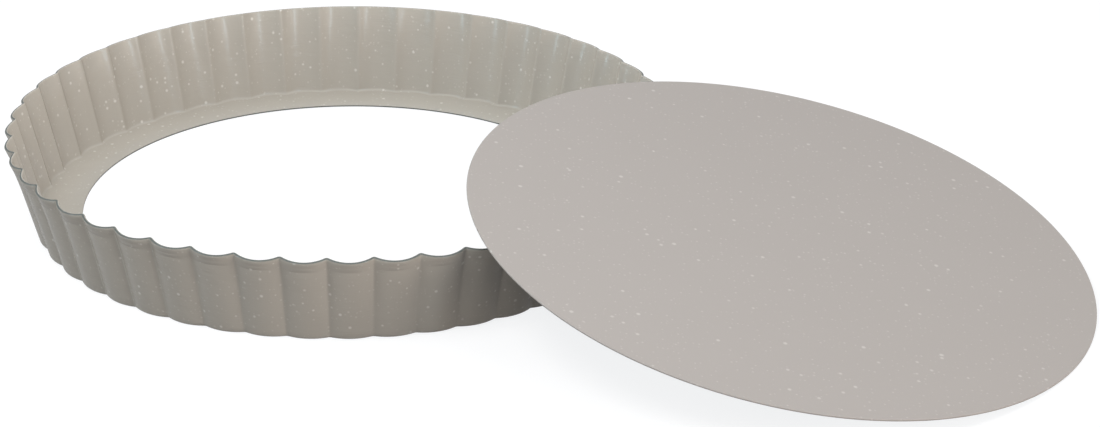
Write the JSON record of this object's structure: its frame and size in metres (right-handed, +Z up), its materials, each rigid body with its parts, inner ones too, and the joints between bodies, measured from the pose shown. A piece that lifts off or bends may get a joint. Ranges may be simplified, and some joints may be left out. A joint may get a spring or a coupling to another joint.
{
  "type": "loose-bottomed fluted quiche tin",
  "caption": "Round fluted quiche and tart tin of coated sheet metal, with a flared wall, an inward ledge and a loose flat base, shown taken out and leaning on the rim.",
  "frame": {"origin": "on the ring's axis, in the plane of the table that the foot stands on", "axes": "+Z up along the ring's axis; +X and +Y in the table plane, with the base leaning towards +X and a little towards -Y"},
  "size_m": [0.4443, 0.3551, 0.0526],
  "materials": {
    "ring_coating": "satin warm grey-brown non-stick coating with fine pale speckles",
    "base_coating": "matte warm grey non-stick coating"
  },
  "bodies": {
    "ring": {"fluted_ring": "ring_coating"},
    "base": {"loose_base": "base_coating"}
  },
  "joints": [
    {"name": "base_lift", "type": "slide", "parent": "ring", "child": "base", "axis": [0, 0, 1], "range_m": [0, 0.06]}
  ]
}
